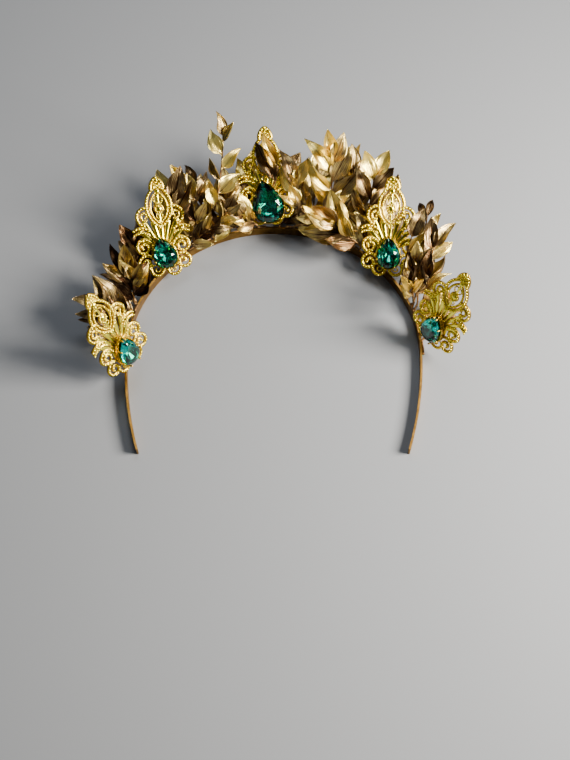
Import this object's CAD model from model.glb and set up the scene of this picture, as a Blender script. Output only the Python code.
"""Leaf tiara: gilded leaves, pierced brass plates and cut glass stones on a thin headband.

Sizes are in millimetres, in the part's own frame: the crown of the arch is at the origin and
its ends point to -Y. Each shape is worked out as whole arrays and put into its mesh in metres.
"""
import math
from collections import namedtuple

import bpy
import numpy as np
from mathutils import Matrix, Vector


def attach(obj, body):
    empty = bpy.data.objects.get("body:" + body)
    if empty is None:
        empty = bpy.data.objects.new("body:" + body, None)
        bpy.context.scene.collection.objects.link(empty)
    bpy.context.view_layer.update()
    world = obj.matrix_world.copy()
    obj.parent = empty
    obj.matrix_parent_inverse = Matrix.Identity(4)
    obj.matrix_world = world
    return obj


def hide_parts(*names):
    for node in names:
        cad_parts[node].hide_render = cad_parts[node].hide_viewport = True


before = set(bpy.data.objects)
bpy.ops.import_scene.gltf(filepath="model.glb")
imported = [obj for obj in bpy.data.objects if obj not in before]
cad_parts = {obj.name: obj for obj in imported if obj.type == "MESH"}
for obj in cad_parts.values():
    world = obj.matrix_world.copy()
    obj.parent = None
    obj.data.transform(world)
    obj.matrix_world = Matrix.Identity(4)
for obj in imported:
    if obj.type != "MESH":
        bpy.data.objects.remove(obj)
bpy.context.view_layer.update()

# Sizes that the part's source gives
BAND_R, LEG_R, BAND_T, BAND_H = 84.0, 220.0, 1.2, 6.0
FAN = math.radians(52)
LEAF_W, LEAF_FOLD, STEM_R, GAP = 0.46, math.radians(24), 0.75, 0.3
PLATE_T, WIRE_H, STONE_UP = 0.8, 0.4, 12.0
SIDE_W, SIDE_L, CENTRE_W, CENTRE_L, STONE_GAP = 13.0, 18.0, 18.0, 25.0, 0.15
FLOOR_T, PAVILION, CROWN, GIRDLE = 0.5, 3.2, 2.4, 0.5
UP = np.array([0, math.sin(FAN), math.cos(FAN)])
OUT = np.array([0, -math.cos(FAN), math.sin(FAN)])

# Leaves: how much wider their rounded outline is than the solids' straight one, and how far
# they stay above the surface that the tiara lies on
WIDER, LEAF_CLEAR = 1.14, 0.4

# Paint on the leaves, as an addition to their tone, at places along the band: the sprays at
# the ends got less of it and the tall one more
PAINT = [-130, -90, -50, -44, -38, -30, 60, 90], [-0.45, -0.36, -0.2, 0.28, -0.08, 0.02, 0, -0.14]

# Sprigs. Columns: place along the band, height of the stem on it, length laid along it, start
# [right, up, front] from there, angle from up, lean to the front, length of the stem, bend
# along it, leaves, leaf length, turn of the leaves about the stem, numbers of leaves left off
Sprig = namedtuple("Sprig", "place height laid start angle lean length bend leaves leaf_length "
                            "turn without")
SPRIGS = [Sprig(*row) for row in (
    [-38, 8.0, 0, [0, -1, 4.5], 32, 31, 21, 3, 6, 14, 0, []],
    [-127, 4.0, 9, [0, 0, 0], -39, 17, 14, 17, 7, 18, -45, []],
    [-116, 1.5, 9, [0, 0, 0], -46, 28, 18, 10, 7, 23, -30, []],
    [-102, 4.0, 9, [0, 0, 0], -24, 10, 18, 6, 7, 21, -20, []],
    [-90, 1.5, 9, [0, 0, 0], -18, -9, 26, 8, 7, 20, 0, [0]],
    [-66, 4.0, 9, [0, 0, 0], 4, 3, 34, -4, 8, 24, -6, []],
    [-56, 1.5, 9, [0, 0, 0], 6, 1, 34, 6, 9, 19, 0, [0, 4, 6]],
    [-44, 4.0, 9, [1, 1, 0], 21, 9, 64, -20, 9, 17, 0, [0, 1]],
    [-34, 1.5, 9, [0, 0, 0], -26, -8, 34, -6, 8, 21, 0, [0]],
    [-27, 4.0, 9, [0, 0, 0], -4, 7, 22, 4, 7, 18, 0, [1]],
    [-5, 0.0, 0, [4.1, 27, 9.7], 34, 11, 9, -40, 6, 26, 0, [0, 2, 3, 4]],
    [15, 4.0, 9, [0, 0, 0], -2, 14, 28, -8, 7, 22, 0, [0, 1, 2]],
    [22, 1.5, 9, [0, 0, 0], 4, -9, 36, 6, 8, 20, 0, [0, 1]],
    [36, 4.0, 9, [0, 0, 0], -4, 13, 48, 4, 9, 24, 0, [0]],
    [58, 8.0, 0, [0, 0, 4], -54, 16, 24, 4, 7, 26, 0, [0]],
    [46, 1.5, 9, [0, 0, 0], 0, -6, 42, 8, 9, 21, 0, [0]],
    [58, 4.0, 9, [0, 0, 0], 2, 3, 46, 8, 9, 20, 0, [0]],
    [72, 1.5, 9, [0, 0, 0], 0, -19, 44, 8, 9, 20, 0, []],
    [102, 4.0, 9, [3.5, 0, 0], 4, -22, 54, 8, 9, 16, 0, [1]],
    [104, 1.5, 9, [0, 0, 0], 12, 4, 38, 12, 8, 20, 10, [0]],
    [114, 4.0, 9, [0, 0, 0], 8, 18, 28, 4, 8, 18, 40, [1, 3]],
    [126, 1.5, 9, [0, 0, 0], 42, -14, 20, -6, 7, 18, 20, [0, 2]],
    [26, 8.0, 0, [0, -1, 2.3], 25, 19, 17, 9, 6, 14, 0, [0, 1]],
    [-14, 1.5, 9, [0, 0, 0], -8, -12, 32, 8, 8, 20, 0, []],
    [3, 1.5, 9, [0, 0, 0], 8, -12, 34, -4, 8, 20, 0, []],
    [34, 1.5, 9, [0, 0, 0], 10, -10, 42, 8, 8, 20, 0, [0]],
    [98, 8.0, 0, [1, 0, 2], 4, 20, 20, 6, 6, 15, 20, []],
    [38, 8.0, 0, [0.3, -1, 2.3], -56, 22, 18, 6, 6, 15, 0, []],
    [-20, 8.0, 0, [0, -1.15, 1.7], -80, 14, 22, -10, 7, 13, 0, [6]],
    [-57, 8.0, 0, [0, -1, 2], 46, 18, 22, 10, 7, 14, 0, [0]],
    [12, 8.0, 0, [0, -1, 2], 80, 16, 14, 16, 6, 13, 0, []],
    [-104, 8.0, 0, [0, 0, 2], 0, 30, 16, 8, 6, 17, -30, []],
    [104, 8.0, 0, [0, 0, 2], -14, 44, 18, 6, 6, 17, 30, [0]],
    [-10, 8.0, 0, [0, -1, 4.5], -56, 33, 12, 10, 6, 17, 0, []],
    [26, 4.0, 9, [0, 0, 0], -38, 11, 21, 8, 7, 15, 0, [3]],
    [54, 8.0, 0, [0, -1, 2.3], 20, 13, 13, 11, 7, 15, 0, []],
    [-51, 8.0, 0, [0, -1, 2.9], 12, 23, 16, -1, 7, 15, 0, [3, 4]],
    [88, 4.0, 9, [0, 0, 0], 10, 10, 29, 2, 6, 19, 0, [0, 2, 4]],
)]

# Ornaments. Columns: place along the band, foot of the plate [right, up, front] from there,
# angle from up, lean to the front, turn about its long axis, stone width, stone length, angle
# of the stone, distance of the setting from the plate
Ornament = namedtuple("Ornament", "place foot angle lean turn width length stone_angle gap")
ORNAMENTS = [Ornament(*row) for row in (
    [-135, [4, -3.5, 9.4], -25, 38, -34, SIDE_W, SIDE_L, 4, 0.2],
    [-77, [3, 1.5, 4], -6, 0, -8, SIDE_W, SIDE_L, -14, 0.2],
    [-5, [1, 5.4, 4.2], -2, 0, 0, CENTRE_W, CENTRE_L, -12, 0.2],
    [77, [0, 1.4, 4.3], 3, 0, 4, SIDE_W, SIDE_L, -4, 0.2],
    [122, [5.3, -1.8, 7.3], 22, 42, 34, SIDE_W, SIDE_L, -4, 0.2],
)]

# Wires of a plate, right half. Columns: centre x, centre y, first radius, last radius, first
# angle, last angle, width, spacing of the beads along it, whether it is raised
Arc = namedtuple("Arc", "x y first_r last_r first last width spacing raised", defaults=[False])
ARCS = [Arc(*row) for row in (
    [-6.1, 39.0, 13.4, 13.4, -66, 62, 2.0, 1.75, True],
    [-6.0, 38.4, 11.0, 11.0, -57, 55, 1.5, 1.25, False],
    [0.0, 37.6, 2.2, 2.2, -90, 90, 1.6, 1.2, False],
    [-3.0, 49.8, 6.6, 6.6, -6, 63, 2.2, 1.75, True],
    [0.0, 51.2, 1.6, 1.6, -90, 90, 2.8, 1.5, False],
    [8.3, 33.6, 5.4, 4.9, -76, 126, 2.0, 1.75, True],
    [8.9, 33.9, 2.8, 0.9, -110, 250, 1.8, 1.3, False],
    [12.0, 19.8, 7.4, 7.4, 54, 130, 1.9, 1.7, True],
    [12.0, 15.8, 8.6, 8.6, 60, 124, 1.8, 1.3, False],
    [11.2, 15.7, 5.2, 1.0, 170, -400, 2.0, 1.7, True],
    [11.0, 6.2, 5.2, 1.0, 148, -370, 2.0, 1.7, True],
    [5.0, 2.6, 3.8, 3.6, -215, 45, 1.9, 1.3, False],
)]

# Thin curls inside the plate's largest gaps, right half, finer than the solid plate has
CURLS = [Arc(*row) for row in (
    [0.6, 42.7, 1.9, 1.9, -84, 84, 0.7, 0.9],
    [0.6, 33.4, 1.3, 1.3, -84, 84, 0.6, 0.8],
    [5.0, 2.6, 2.9, 0.6, 50, 420, 0.8, 0.9],
)]

# Petals of the fan, right half. Columns: angle from up, first and last distance from the
# middle of the stone, width at the first, half width at the last
PETALS = [
    [0, 6, 15.6, 1.7, 1.4],
    [14, 6, 18.0, 1.7, 1.5],
    [28, 6, 20.2, 1.7, 1.6],
    [42, 6, 18.0, 1.7, 1.5],
    [57, 6, 13.6, 2.2, 1.4],
]

# Bosses and bars on the middle line of a plate. Columns: height up the plate, radius; and
# height, length. Then the width of a bar, and the radius of the disc behind the stone
BOSSES = [[47.9, 1.7], [51.2, 1.0], [37.6, 2.0], [54.4, 1.5]]
BARS = [[27, 9.2], [39.4, 8]]
BAR_W, DISC_R = 1.4, 7.3


# Places on the tiara
def vary(i, k):
    """Small steady variation from two whole numbers, between -1 and 1."""
    return 2 * ((i * 37 + k * 101 + 13 * i * k) % 97) / 96 - 1


def band_at(s, o, z):
    """Point on the strip at s along it from the crown, o outside its middle and z up: on the
    half circle up to a quarter turn each way, then on the gently curved legs."""
    q, a = (1 if s >= 0 else -1), abs(s)
    quarter = BAND_R * math.pi / 2
    if a <= quarter:
        t = a / BAND_R
        return np.array([q * (BAND_R + o) * math.sin(t), (BAND_R + o) * math.cos(t) - BAND_R, z])
    p = (a - quarter) / LEG_R
    return np.array([q * (BAND_R - LEG_R * (1 - math.cos(p)) + o * math.cos(p)),
                     -BAND_R - (LEG_R + o) * math.sin(p), z])


def way(a, e):
    """Direction in the leaf fan, a degrees to the right of up and e degrees to the front."""
    a, e = math.radians(a), math.radians(e)
    return math.cos(e) * (math.cos(a) * UP + np.array([math.sin(a), 0, 0])) + math.sin(e) * OUT


def frame_of(a, e, roll):
    """Local axes of a leaf or a plate: across, along and facing, rolled about along."""
    l, b, n, r = way(a, e), way(a + 90, 0), way(a, e + 90), math.radians(roll)
    return np.array([math.cos(r) * b + math.sin(r) * n, l, math.cos(r) * n - math.sin(r) * b])


def stem_at(k, t):
    """Point of the stem of sprig k at t, from 0 at its start to 1 at its end."""
    q = SPRIGS[k]
    base = band_at(q.place, BAND_T / 2 + GAP + STEM_R, q.height)
    start = base + np.array([q.start[0], 0, 0]) + q.start[1] * UP + q.start[2] * OUT
    return start + q.length * t * way(q.angle + q.bend * t / 2, q.lean + 3 * t)


def leaf_place(i, n):
    """Place of leaf i of n along the stem; the last two form a pair at its end."""
    return 0.98 if i == n - 1 else 0.1 + 0.83 * i / (n - 2)


def leaf_row(k, i):
    """Leaf i of sprig k: base, axes, length, width, curl. Leaves stand off the stem to both
    sides in turn, by 46 degrees at its start and 24 at its end, and the last one by 12. Those
    in the middle are the longest, and each differs a little."""
    q = SPRIGS[k]
    t = leaf_place(i, q.leaves)
    side = 1 if (i + k) % 2 == 0 else -1
    off = side * (12 if i == q.leaves - 1 else 46 - 22 * t)
    a = q.angle + q.bend * t + off + 8 * vary(i, k)
    e = q.lean + 3 * t + 9 * vary(i + 3, k)
    l = q.leaf_length * (1 - 0.18 * abs(t - 0.5)) * (1 + 0.1 * vary(i + 5, k))
    return (stem_at(k, t), frame_of(a, e, q.turn + 16 * vary(i + 7, k)), l,
            l * LEAF_W * (1 + 0.12 * vary(i + 2, k)), 0.1 + 0.12 * vary(i + 9, k))


# Mesh helpers
def ring_faces(rows, around):
    """Quads of a closed tube of rows rings with around points each."""
    i, j = np.meshgrid(np.arange(rows - 1), np.arange(around), indexing="ij")
    a = i * around + j
    b = i * around + (j + 1) % around
    return np.stack([a, a + around, b + around, b], -1).reshape(-1, 4)


def end_faces(ring, centre, turned):
    """Fan that closes a ring of point numbers at its centre point."""
    nxt = np.roll(ring, -1)
    c = np.full(len(ring), centre)
    return np.stack([c, nxt, ring] if turned else [c, ring, nxt], -1)


class Shell:
    """Collects closed tubes and their point values, then makes one object of them."""

    def __init__(self):
        self.points, self.faces, self.values, self.count = [], [], {}, 0

    def tube(self, rings, **values):
        """Adds a closed tube from its rings of points, first ring to last, each end filled from
        its middle. A value is one array for the points of the rings."""
        rings = np.asarray(rings, float)
        n, m = rings.shape[:2]

        def with_middles(array):
            flat = array.reshape((n * m,) + array.shape[2:])
            return np.concatenate([flat, array[0].mean(0)[None], array[-1].mean(0)[None]])

        ids = np.arange(n * m).reshape(n, m)
        for faces in (ring_faces(n, m), end_faces(ids[0], n * m, False),
                      end_faces(ids[-1], n * m + 1, True)):
            self.faces.append(faces + self.count)
        self.points.append(with_middles(rings))
        self.count += n * m + 2
        for name, value in values.items():
            self.values.setdefault(name, []).append(with_middles(np.asarray(value, float)))

    def make(self, name, material, smooth=True):
        """Makes the mesh object in metres, at the origin, with its material and values."""
        mesh = bpy.data.meshes.new(name)
        points = np.concatenate(self.points) / 1000
        mesh.from_pydata(points.tolist(), [], [row for f in self.faces for row in f.tolist()])
        mesh.polygons.foreach_set("use_smooth", np.full(len(mesh.polygons), smooth))
        for key, parts in self.values.items():
            v = np.concatenate(parts).astype(np.float32)
            kind, field = ("FLOAT_VECTOR", "vector") if v.ndim == 2 else ("FLOAT", "value")
            mesh.attributes.new(key, kind, "POINT").data.foreach_set(field, v.ravel())
        mesh.materials.append(material)
        mesh.update()
        obj = bpy.data.objects.new(name, mesh)
        bpy.context.scene.collection.objects.link(obj)
        return obj


def smooth_path(points, steps):
    """Points on a smooth curve through the given ones: a cubic between each two, whose slopes
    are half the chord of their neighbours."""
    p = np.asarray(points, float)
    q = np.concatenate([2 * p[:1] - p[1:2], p, 2 * p[-1:] - p[-2:-1]])
    t = np.linspace(0, len(p) - 1, steps)
    i = np.minimum(t.astype(int), len(p) - 2)
    u = (t - i)[:, None]
    a, b, c, d = q[i], q[i + 1], q[i + 2], q[i + 3]
    return 0.5 * (2 * b + (c - a) * u + (2 * a - 5 * b + 4 * c - d) * u ** 2
                  + (3 * b - a - 3 * c + d) * u ** 3)


def path_rings(path, radius, sides, ref=(0, 0, 1)):
    """Rings round a path: at each point a circle of its radius, square to the path. Ref is a
    direction that the path never takes."""
    path = np.asarray(path, float)
    along = np.gradient(path, axis=0)
    along /= np.linalg.norm(along, axis=1)[:, None]
    x = np.cross(along, np.asarray(ref, float))
    x /= np.linalg.norm(x, axis=1)[:, None]
    y = np.cross(along, x)
    a = np.linspace(0, 2 * math.pi, sides, endpoint=False)[None, :, None]
    r = np.broadcast_to(np.asarray(radius, float), (len(path),))[:, None, None]
    return path[:, None] + r * (np.cos(a) * x[:, None] + np.sin(a) * y[:, None])


def ball_rings(centre, radius, sides, rows, squash=1.0):
    """Rings of a ball: circles whose radius and height follow a half turn, squashed in z."""
    a = np.linspace(0.02, math.pi - 0.02, rows)
    c = np.linspace(0, 2 * math.pi, sides, endpoint=False)
    ring = np.stack([np.sin(a)[:, None] * np.cos(c), np.sin(a)[:, None] * np.sin(c),
                     squash * np.cos(a)[:, None] * np.ones(sides)], -1)
    return np.asarray(centre, float) + radius * ring


# Materials
def linear(code):
    """Linear colour of an sRGB hex value."""
    s = np.array([int(code[i:i + 2], 16) for i in (1, 3, 5)]) / 255
    return tuple(np.where(s <= 0.04045, s / 12.92, ((s + 0.055) / 1.055) ** 2.4)) + (1.0,)


def add(tree, kind, inputs=(), **settings):
    """Adds a node: inputs maps socket names or numbers to values or to sockets to join."""
    n = tree.nodes.new(kind)
    for key, value in settings.items():
        setattr(n, key, value)
    for key, value in dict(inputs).items():
        if isinstance(value, bpy.types.NodeSocket):
            tree.links.new(value, n.inputs[key])
        else:
            n.inputs[key].default_value = value
    return n


def calc(tree, operation, *values):
    """Socket of a math node on numbers or sockets."""
    return add(tree, "ShaderNodeMath", enumerate(values), operation=operation).outputs[0]


def sum_up(tree, value, share, rest):
    """Socket of value times share, plus rest."""
    return calc(tree, "MULTIPLY_ADD", value, share, rest)


def spread(tree, value, low, high, to_low, to_high):
    """Socket of value, carried from the range low to high over to another range."""
    return add(tree, "ShaderNodeMapRange", {"Value": value, "From Min": low, "From Max": high,
                                            "To Min": to_low, "To Max": to_high}).outputs[0]


def noise(tree, place, scale, detail=2.0, roughness=0.5):
    """Socket of a cloudy pattern, 0 to 1, with about scale clouds to a unit of place."""
    return add(tree, "ShaderNodeTexNoise", {"Vector": place, "Scale": scale, "Detail": detail,
                                            "Roughness": roughness}).outputs["Fac"]


def ramp(tree, fac, stops):
    """Colour ramp through (place, hex colour) stops."""
    n = add(tree, "ShaderNodeValToRGB", {"Fac": fac})
    e = n.color_ramp.elements
    while len(e) < len(stops):
        e.new(0.5)
    for el, (place, code) in zip(e, stops):
        el.position, el.color = place, linear(code)
    return n.outputs["Color"]


def new_material(name):
    """Empty material with its output, as (material, tree, principled)."""
    m = bpy.data.materials.new(name)
    m.use_nodes = True
    t = m.node_tree
    t.nodes.clear()
    p = add(t, "ShaderNodeBsdfPrincipled")
    add(t, "ShaderNodeOutputMaterial", {"Surface": p.outputs["BSDF"]})
    return m, t, p


def attribute(tree, name):
    """Sockets of a value that the mesh keeps for each point, as a number and as a triple."""
    n = add(tree, "ShaderNodeAttribute", attribute_name=name)
    return n.outputs["Fac"], n.outputs["Vector"]


def object_place(tree):
    """Socket of the place in the object, in metres."""
    return add(tree, "ShaderNodeTexCoord").outputs["Object"]


def bump(tree, principled, height, metres, strength):
    """Raises the surface by height, a pattern with steps of about 1, times metres."""
    n = add(tree, "ShaderNodeBump", {"Height": height, "Distance": metres, "Strength": strength})
    tree.links.new(n.outputs[0], principled.inputs["Normal"])


def gilded_leaf():
    """Dried leaf sprayed with antique gold paint: a satin metal skin with fine lengthwise
    streaks, darker along the midrib and at the foot, and pale where the paint lies thick."""
    m, t, p = new_material("dried leaf, antique gold spray paint")
    place = attribute(t, "leaf_mm")[1]
    share = add(t, "ShaderNodeSeparateXYZ", {0: attribute(t, "leaf_share")[1]}).outputs
    under = attribute(t, "leaf_under")[0]
    # Veins run from base to tip and close in with the outline: 6 to each half, about 0.8 mm
    # apart, which is coarser than the real ones so that they show
    wander = noise(t, place, 0.35)
    vein = sum_up(t, wander, 1.2, calc(t, "MULTIPLY", share["X"], 6.0))
    vein = calc(t, "SINE", calc(t, "MULTIPLY", vein, 2 * math.pi))
    # Streaks 0.5 mm wide and 6 mm long, and patches of paint some 6 mm across
    stretch = add(t, "ShaderNodeMapping", {"Vector": place, "Scale": (2.0, 0.16, 1.0)})
    streak = noise(t, stretch.outputs[0], 1.0, 3.0, 0.6)
    patch = noise(t, place, 0.16)
    # The midrib and the foot of the leaf are darker
    rib = spread(t, calc(t, "ABSOLUTE", share["X"]), 0.0, 0.12, -0.1, 0.12)
    foot = spread(t, share["Y"], 0.02, 0.4, -0.22, 0.0)
    tone = calc(t, "ADD", rib, foot)
    for value, weight in ((streak, 0.42), (patch, 0.38), (vein, 0.07), (share["Z"], 0.5)):
        tone = sum_up(t, value, weight, tone)
    upper = ramp(t, tone, [(0.3, "#241004"), (0.5, "#5C442A"), (0.68, "#A89264"), (0.9, "#FFE880")])
    # The underside got less paint: warm dry brown shows through
    lower = ramp(t, tone, [(0.34, "#1E1206"), (0.6, "#70522C"), (0.92, "#BE9C60")])
    part = calc(t, "MULTIPLY", under, 0.8)
    # Inputs 0, 6 and 7 of a colour mix are its share and its two colours, and output 2 the result
    both = add(t, "ShaderNodeMix", {0: part, 6: upper, 7: lower}, data_type="RGBA")
    t.links.new(both.outputs[2], p.inputs["Base Color"])
    t.links.new(spread(t, streak, 0.3, 0.7, 0.25, 0.35), p.inputs["Roughness"])
    p.inputs["Metallic"].default_value = 0.94
    # Relief of streaks and veins, with paint grain about 0.3 mm across
    grain = noise(t, place, 3.2)
    bump(t, p, sum_up(t, grain, 0.5, sum_up(t, streak, 1.0, vein)), 0.00004, 1.0)
    return m


def metal(name, scale, detail, stops, metallic, roughness, relief, strength):
    """Metal whose colour and relief follow one cloudy pattern, with about scale clouds to a
    metre. Stops are its colours, and relief is in metres."""
    m, t, p = new_material(name)
    n = noise(t, object_place(t), scale, detail)
    t.links.new(ramp(t, n, stops), p.inputs["Base Color"])
    p.inputs["Metallic"].default_value = metallic
    p.inputs["Roughness"].default_value = roughness
    bump(t, p, n, relief, strength)
    return m


def stem_finish():
    """Wired stem, dipped in the same gold paint: darker and rougher than the leaves, with
    paint missing in its creases, in patches of 1.5 mm."""
    return metal("wired stem, antique gold paint", 700.0, 3.0,
                 [(0.35, "#2E1D0C"), (0.55, "#7A5A30"), (0.8, "#A98A58")], 0.7, 0.5, 0.0002, 0.7)


def setting_brass():
    """Cast brass setting, gilded and tumbled: smooth, a little softer than the plate, with
    faint clouds of 2 mm."""
    return metal("cast brass, gilded", 500.0, 2.0,
                 [(0.3, "#AC8C28"), (0.7, "#DCBC48")], 1.0, 0.24, 0.00004, 0.5)


def band_metal():
    """Spring steel strip, painted antique gold: satin, with clouds of 4 mm in the paint."""
    return metal("spring steel, antique gold paint", 260.0, 4.0,
                 [(0.35, "#74541E"), (0.65, "#987232")], 0.9, 0.38, 0.00005, 0.5)


def plate_brass():
    """Stamped brass plate, gilded bright: yellow and smooth on the raised wires and beads,
    brown and duller where the polish doesn't reach between them."""
    m, t, p = new_material("stamped brass, gilded")
    n = noise(t, object_place(t), 900.0)
    polish = sum_up(t, n, 0.3, attribute(t, "relief")[0])
    stops = [(0.15, "#5C4418"), (0.55, "#C09E42"), (0.85, "#FFE03A"), (1.0, "#FFF252")]
    t.links.new(ramp(t, polish, stops), p.inputs["Base Color"])
    p.inputs["Metallic"].default_value = 1.0
    t.links.new(spread(t, polish, 0.1, 1.1, 0.42, 0.2), p.inputs["Roughness"])
    bump(t, p, n, 0.00005, 0.5)
    return m


def stone_glass():
    """Cut and polished lead glass, emerald green through and through: the clear body in which
    the light turns back."""
    m, t, p = new_material("cut glass, emerald green")
    p.inputs["Base Color"].default_value = linear("#00D0C2")
    p.inputs["Roughness"].default_value = 0.015
    p.inputs["IOR"].default_value = 1.6
    p.inputs["Transmission Weight"].default_value = 1.0
    return m


def stone_foil():
    """Mirror foil on the back of the stone, lacquered green: the bright flashes in the glass."""
    m, t, p = new_material("mirror foil, green lacquer")
    p.inputs["Base Color"].default_value = linear("#2CCABE")
    p.inputs["Metallic"].default_value = 1.0
    p.inputs["Roughness"].default_value = 0.18
    return m


LEAF, STEM, PLATE, SETTING = gilded_leaf(), stem_finish(), plate_brass(), setting_brass()
GLASS, FOIL, STRIP = stone_glass(), stone_foil(), band_metal()


# Leaves
def blade_half(t, width):
    """Half width of a leaf at t along it: a power of a sine, and a narrow foot below it."""
    q = np.clip((t - 0.1) / 0.9, 0, 1) ** 0.78
    return width / 2 * WIDER * np.sqrt(np.sin(math.pi * q) ** 1.7 + (0.09 * (1 - t)) ** 2)


def leaf_rings(k, i, rows=27, around=32):
    """Leaf i of sprig k: its rings from base to tip, and for their points the place on the leaf
    in mm, the share of its half width and length with its tone, and whether it is underside.
    Each half lies at the fold angle, steeper towards its edge, and waves there. The leaf curls
    back with the square of the distance, and its outer part once more. A ring that would dip
    into the surface below is lifted clear, by a smooth function of its lowest point."""
    base, axes, length, width, curl = leaf_row(k, i)
    t = (0.5 - 0.5 * np.cos(np.linspace(0, math.pi, rows)))[:, None]
    phi = np.linspace(0, 2 * math.pi, around, endpoint=False)
    u, v = np.cos(phi)[None], np.sin(phi)[None]
    edge, fold, cup, phase, sides, tip, sweep, turn = (vary(i + 11 + j, k + 5 * j)
                                                       for j in range(8))
    half = blade_half(t, width) * (1 + 0.05 * np.sin(9 * t + 5 * edge) * np.abs(u))
    s = u * half

    # Section: two halves that meet in a rounded crease, and waves along the edge and across
    angle = LEAF_FOLD * (1 + 0.4 * fold) + math.radians(16 + 30 * cup) * np.abs(u) ** 1.5
    across = s * np.cos(0.8 * angle) + 0.05 * sweep * length * t ** 2
    height = (np.sqrt(s ** 2 + 0.06) - 0.245) * np.sin(angle)
    ripple = np.sin(7 * t + 6 * phase + np.sign(u) * (1.2 + sides)) * np.sin(math.pi * t)
    height = height + 0.3 * np.abs(u) ** 3 * half * ripple
    groove = np.sin(2 * math.pi * (2.3 * np.abs(u) + 0.15 * phase))
    height = height + 0.2 * groove * np.minimum(1, half / 3)

    # Length: curl, a second curl of the outer part, and a twist
    height = height - curl * length * t ** 2
    height = height + 1.5 * (tip - 0.1) * length * np.clip(t - 0.55, 0, 1) ** 2
    twist = 0.8 * turn * t ** 1.5
    x = across * np.cos(twist) - 0.5 * height * np.sin(twist)
    z = height + across * np.sin(twist)

    # Half thickness: thin, and thicker along the midrib and at the foot
    thick = 0.12 + 0.16 * np.exp(-(s / 0.6) ** 2) * (1 - t) + 0.2 * np.exp(-(t / 0.1) ** 2)
    points = (base + length * t[..., None] * axes[1] + x[..., None] * axes[0]
              + (z + v * thick)[..., None] * axes[2])
    low = points[..., 2].min(axis=1, keepdims=True)
    points[..., 2] += 0.8 * np.logaddexp(0, (LEAF_CLEAR - low) / 0.8)

    ones = np.ones_like(s)
    tone = 0.5 + 0.5 * vary(i + 4, k + 3) + np.interp(SPRIGS[k].place, *PAINT)
    place = np.stack([s, length * t * ones, (37 * (i + 1) + 11 * k) * ones], -1)
    share = np.stack([u * ones, t * ones, tone * ones], -1)
    return points, place, share, (v < -0.05) * ones


def laid_path(k):
    """The stretch of stem k that is laid on the strip before it rises: along its outside, or
    a foot 5 mm long on its upper edge."""
    q = SPRIGS[k]
    if q.laid > 0:
        side = 1 if q.place > 0 else -1
        return [band_at(q.place + side * q.laid * t, BAND_T / 2 + GAP + STEM_R, q.height)
                for t in (1, 0.5)]
    if q.height > BAND_H:
        foot = 5 if q.angle < 0 else -5
        return [band_at(q.place + foot * t, 0, BAND_H + GAP + STEM_R) for t in (1, 0)]
    return []


def make_sprig(k):
    """One sprig: its stem, thinning and with a knuckle at each leaf, and its leaves."""
    q = SPRIGS[k]
    path = smooth_path(laid_path(k) + [stem_at(k, t) for t in (0, 0.14, 0.3, 0.5, 0.75, 1)], 44)
    radius = np.linspace(0.72, 0.38, len(path))
    for i in range(q.leaves):
        d = np.linalg.norm(path - stem_at(k, leaf_place(i, q.leaves)), axis=1)
        radius = radius + 0.16 * np.exp(-(d / 0.9) ** 2)
    stem = Shell()
    stem.tube(path_rings(path, np.minimum(radius, STEM_R), 8))
    leaves = Shell()
    for i in range(q.leaves):
        if i not in q.without:
            points, place, share, under = leaf_rings(k, i)
            leaves.tube(points, leaf_mm=place, leaf_share=share, leaf_under=under)
    for piece in (stem.make(f"sprig_{k + 1:02d}_stem", STEM),
                  leaves.make(f"sprig_{k + 1:02d}_leaves", LEAF)):
        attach(piece, "root")
        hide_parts(f"sprig_{k + 1:02d}")


# Ornaments
def placed(points, k):
    """Plate coordinates, x across, y along and z to the front, moved to ornament k."""
    q = ORNAMENTS[k]
    foot = band_at(q.place, 0, BAND_H / 2)
    foot = foot + np.array([q.foot[0], 0, 0]) + q.foot[1] * UP + q.foot[2] * OUT
    return foot + np.asarray(points, float) @ frame_of(q.angle, q.lean, q.turn)


# Section of a stamped wire, from one foot over its domed top to the other. Columns: place
# across as a share of the half width, height as a share of the wire's
WIRE = np.array([[-1, 0], [-1, 0.5], [-0.78, 0.82], [-0.3, 1],
                 [0.3, 1], [0.78, 0.82], [1, 0.5], [1, 0]])


def wire_rings(path, width, height):
    """Rings of a stamped wire on a flat path, whose width may change along it."""
    path = np.asarray(path, float)
    along = np.gradient(path, axis=0)
    along /= np.linalg.norm(along, axis=1)[:, None]
    side = np.stack([along[:, 1], -along[:, 0]], -1)
    half = np.broadcast_to(np.asarray(width, float) / 2, (len(path),))[:, None, None]
    xy = path[:, None] + WIRE[None, :, :1] * half * side[:, None]
    z = np.broadcast_to(WIRE[None, :, 1:] * height, xy.shape[:2] + (1,))
    return np.concatenate([xy, z], -1)


def arc_path(q, step=5):
    """Points, step degrees apart, of an arc or spiral whose radius goes evenly from first to
    last."""
    n = max(int(abs(q.last - q.first) / step), 6)
    a = np.radians(np.linspace(q.first, q.last, n + 1))
    r = np.linspace(q.first_r, q.last_r, n + 1)
    return np.stack([q.x + r * np.cos(a), q.y + r * np.sin(a)], -1)


def even_points(path, spacing):
    """Points at even spacing along a path."""
    d = np.concatenate([[0], np.cumsum(np.linalg.norm(np.diff(path, axis=0), axis=1))])
    n = max(int(d[-1] / spacing), 2)
    s = np.linspace(0, d[-1], n + 1)
    return np.stack([np.interp(s, d, path[:, i]) for i in range(path.shape[1])], -1)


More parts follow.
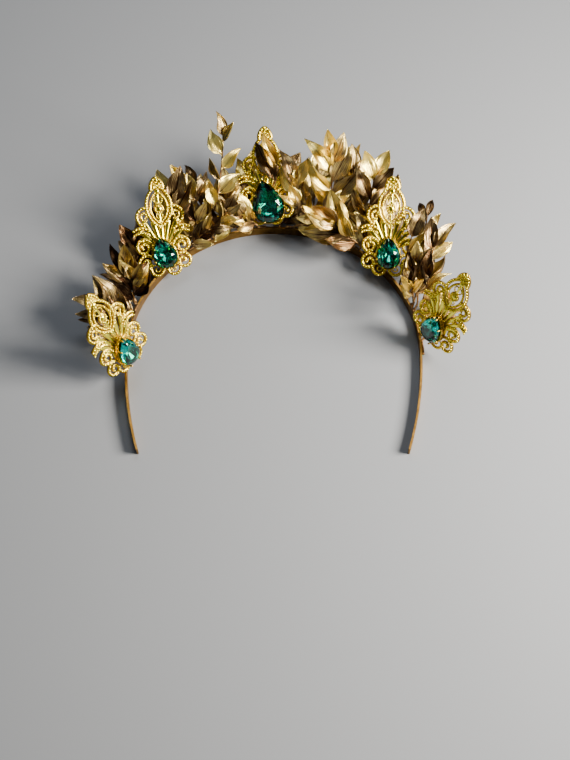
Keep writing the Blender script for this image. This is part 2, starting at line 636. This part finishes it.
def make_plate(k):
    """One plate: domed wires and petals over a flat back, bosses on the middle line, and rows
    of beads along the wires, larger on the raised ones. The value relief is a point's height
    as a share of the height where the polish is full."""
    shell = Shell()

    def put(rings, both=True, full=None):
        """Adds rings in plate coordinates, and also mirrored to the left half if both."""
        full = full or max(float(rings[..., 2].max()), PLATE_T)
        for m in (1, -1) if both else (1,):
            r = (rings * np.array([m, 1, 1]))[:, ::m]
            shell.tube(placed(r, k), relief=np.clip(r[..., 2] / full, 0, 1))

    def beaded_wire(q, top, sides, rows, step=5):
        """Adds wire q, as high as top, and its beads, each of rows rings with sides points."""
        put(wire_rings(arc_path(q, step), q.width, top), full=top / 0.58)
        for x, y in even_points(arc_path(q), q.spacing):
            ball = ball_rings([x, y, top], 0.41 * q.spacing, sides, rows)
            put(ball, full=top + 0.35 * q.spacing)

    for q in ARCS:
        beaded_wire(q, PLATE_T + (0.6 * WIRE_H if q.raised else 0), 10, 8)
    for q in CURLS:
        beaded_wire(q, 0.75 * PLATE_T, 8, 6, 12)
    eye = np.array([0, STONE_UP])
    for angle, first, last, width, end in PETALS:
        d = np.array([math.sin(math.radians(angle)), math.cos(math.radians(angle))])
        s = np.concatenate([np.linspace(first, last, 8),
                            last + end * np.sin(np.linspace(0.3, 1.5, 5))])
        straight = width + (2 * end - width) * (s - first) / (last - first)
        rounded = 2 * np.sqrt(np.maximum(end ** 2 - (s - last) ** 2, 0.01))
        path = eye + s[:, None] * d
        put(wire_rings(path, np.where(s <= last, straight, rounded), PLATE_T), angle > 0)
        tip = eye + last * d
        put(ball_rings([tip[0], tip[1], PLATE_T - 0.1], 0.5 * end, 10, 7), angle > 0)
    for y, length in BARS:
        path = np.stack([np.zeros(5), np.linspace(y, y + length, 5)], -1)
        put(wire_rings(path, BAR_W, PLATE_T), False)
    for y, r in BOSSES:
        put(ball_rings([0, y, 0.4 * PLATE_T], r, 16, 9, 0.6), False)

    # Round base of the stone's setting, from the middle of its back over its edge
    a = np.linspace(0, 2 * math.pi, 40, endpoint=False)
    disc = [np.stack([DISC_R * g * np.cos(a), STONE_UP + DISC_R * g * np.sin(a), np.full(40, z)], -1)
            for g, z in ((0.02, 0), (1, 0), (1, 0.7), (0.97, PLATE_T), (0.02, PLATE_T))]
    put(np.array(disc)[:, ::-1], False)
    plate = shell.make(f"plate_{k + 1}", PLATE)
    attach(plate, "root")
    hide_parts(f"filigree_{k + 1}")


# How strongly a pear is drawn in towards its point, and its largest width after that, as a
# share of the ellipse's
PEAR_POWER, PEAR_W = 0.8, 0.81


def pear_at(w, l, g, t):
    """Outline of a pear, w wide and l long, pointed at the top and grown by g, at angles t:
    an ellipse whose width is drawn in towards the top, and brought back to about w at its
    widest place by PEAR_W."""
    x = (w / 2 + g) * np.sin(t) * np.abs(np.sin(t / 2)) ** PEAR_POWER / PEAR_W
    return np.stack([x, (l / 2 + g) * np.cos(t)], -1)


def on_stone(points, k, z=0.0):
    """Stone coordinates moved to ornament k."""
    q = ORNAMENTS[k]
    p = np.asarray(points, float)
    a = math.radians(-q.stone_angle)
    x = p[..., 0] * math.cos(a) - p[..., 1] * math.sin(a)
    y = p[..., 0] * math.sin(a) + p[..., 1] * math.cos(a)
    up = PLATE_T + WIRE_H + q.gap + z
    return placed(np.stack([x, y + STONE_UP, p[..., 2] + up], -1), k)


# The setting's cup and claws. Columns: distance out from the stone's outline, height above
# the foot; CUP_H is the height of the stone's widest place
CUP_H = FLOOR_T + STONE_GAP + PAVILION
CUP = [(-2.0, 0), (0.7, 0), (0.86, 0.12), (0.9, 0.3), (0.78, 0.5),
       (0.78, CUP_H - 1.6), (0.9, CUP_H - 1.4), (0.9, CUP_H - 1.15), (0.8, CUP_H - 1.02),
       (0.65, CUP_H - 1), (0.08, CUP_H - 1), (0, CUP_H - 1.1), (0, FLOOR_T), (-2.0, FLOOR_T)]
CLAW = [(0.72, 0.1), (0.72, 1.6), (0.7, CUP_H), (0.68, CUP_H + 0.5), (0.52, CUP_H + 0.95),
        (0.3, CUP_H + 1.2)]
CLAWS, CLAW_R, CLAW_BALL_R, CLAW_BALL_OUT, CLAW_BALL_UP = 8, 0.5, 0.6, 0.25, 0.75


def make_setting(k):
    """One setting: a cup lofted round the pear from foot to rounded rim and down inside, and
    claws that rise along it and end in balls on the stone."""
    w, l = ORNAMENTS[k].width, ORNAMENTS[k].length
    t = np.linspace(0, 2 * math.pi, 96, endpoint=False)
    shell = Shell()
    shell.tube(on_stone([np.concatenate([pear_at(w, l, g, t), np.full((96, 1), z)], -1)
                         for g, z in CUP], k))
    for i in range(CLAWS):
        a = 2 * math.pi * (i + 0.5) / CLAWS
        path = smooth_path([np.append(pear_at(w, l, g, a), z) for g, z in CLAW], 16)
        radius = np.linspace(CLAW_R, 0.9 * CLAW_R, len(path))
        shell.tube(on_stone(path_rings(path, radius, 10, (0.3, 0.2, 0)), k))
        x, y = pear_at(w, l, CLAW_BALL_OUT + STONE_GAP, a)
        ball = ball_rings([x, y, CUP_H + GIRDLE + CLAW_BALL_UP], CLAW_BALL_R, 12, 9)
        shell.tube(on_stone(ball, k))
    claws = shell.make(f"claws_{k + 1}", SETTING)
    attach(claws, "root")
    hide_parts(f"setting_{k + 1}")


# Rows of corners of a stone. Columns: height from the girdle, share of the outline, half
# steps turned
STONE_ROWS = [(GIRDLE + CROWN, 0.56, 0), (GIRDLE + 1.5, 0.80, 1), (GIRDLE, 1.00, 0),
              (0.0, 1.00, 0), (-1.9, 0.62, 1), (-PAVILION, 0.16, 0)]
CORNERS = 14


def facets(rows, n):
    """Triangles between rows of n corners, and the flat face that closes the last row."""
    i = np.arange(n)
    faces = [(n * (len(rows) - 1) + i[::-1])[None]]
    for j in range(len(rows) - 1):
        a, b = n * j + i, n * j + (i + 1) % n
        c, d = a + n, b + n
        if rows[j][2] < rows[j + 1][2]:
            faces += [np.stack([a, c, b], -1), np.stack([b, c, d], -1)]
        else:
            faces += [np.stack([a, c, d], -1), np.stack([a, d, b], -1)]
    return faces


# The foil's distance from the stone, as a share of the stone's outline and in height
FOIL_OUT, FOIL_DOWN = 0.004, 0.03


def make_foil(k):
    """Foil under the lower facets of stone k: the same corners, grown by a hair."""
    w, l = ORNAMENTS[k].width, ORNAMENTS[k].length
    rows = STONE_ROWS[3:]
    t = 2 * math.pi * np.arange(CORNERS) / CORNERS
    corners = []
    for z, share, turned in rows:
        outline = (share + FOIL_OUT) * pear_at(w, l, 0, t + turned * math.pi / CORNERS)
        height = np.full((CORNERS, 1), z - FOIL_DOWN)
        corners.append(np.concatenate([outline, height], -1))
    shell = Shell()
    shell.points = [on_stone(corners, k, CUP_H).reshape(-1, 3)]
    shell.faces = facets(rows, CORNERS)
    foil = shell.make(f"foil_{k + 1}", FOIL, smooth=False)
    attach(foil, "root")


def cover(name, material):
    """Gives a solid of the part, shown as it is, its one material."""
    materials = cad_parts[name].data.materials
    materials.clear()
    materials.append(material)


for k in range(len(SPRIGS)):
    make_sprig(k)
for k in range(len(ORNAMENTS)):
    make_plate(k)
    make_setting(k)
    make_foil(k)
    cover(f"stone_{k + 1}", GLASS)
cover("headband", STRIP)


# Studio. Lights: name, place in m, size in m, power in W, colour. The camera stands where the
# photograph was taken from, looking down at the angle and with the focal length, in pixels of
# a picture 760 high, that the plates' places in it give
LIGHTS = [("key", (0.52, -0.16, 0.39), 0.28, 24.0, "#FFF4E4"),
          ("fill", (-0.7, -0.4, 0.5), 0.7, 0.5, "#E8F0FF"),
          ("rim", (0.0, 0.42, 0.8), 0.4, 4.0, "#FFFFFF")]
LIGHTS_AIM = (0.0, -0.03, 0.02)
CAMERA_AT, CAMERA_DOWN = (0.006384, -0.423040, 0.568146), math.radians(60.6038)
FOCAL_PX, PHOTO_H_PX, SENSOR_MM = 1150, 760, 36


def studio():
    """Grey floor, a small strong light from the right and front, weaker ones from the left and
    from behind, and the camera at the photograph's angle."""
    bpy.ops.mesh.primitive_plane_add(size=6)
    floor = bpy.context.object
    floor.name = "floor"
    m, t, p = new_material("pale grey matt paper")
    p.inputs["Base Color"].default_value = linear("#767B82")
    p.inputs["Roughness"].default_value = 0.9
    floor.data.materials.append(m)
    world = bpy.data.worlds.new("studio")
    world.use_nodes = True
    world.node_tree.nodes["Background"].inputs["Color"].default_value = linear("#C4C8CE")
    world.node_tree.nodes["Background"].inputs["Strength"].default_value = 0.07
    scene = bpy.context.scene
    scene.world = world
    for name, place, size, power, code in LIGHTS:
        light = bpy.data.lights.new(name, "AREA")
        light.size, light.energy, light.color = size, power, linear(code)[:3]
        lamp = bpy.data.objects.new(name, light)
        lamp.location = place
        towards = Vector(LIGHTS_AIM) - Vector(place)
        lamp.rotation_euler = towards.to_track_quat("-Z", "Y").to_euler()
        scene.collection.objects.link(lamp)
    lens = bpy.data.cameras.new("camera")
    lens.sensor_width = SENSOR_MM
    lens.lens = FOCAL_PX / PHOTO_H_PX * SENSOR_MM
    camera = bpy.data.objects.new("camera", lens)
    camera.location = CAMERA_AT
    camera.rotation_euler = (math.radians(90) - CAMERA_DOWN, 0, 0)
    scene.collection.objects.link(camera)
    scene.camera = camera


studio()
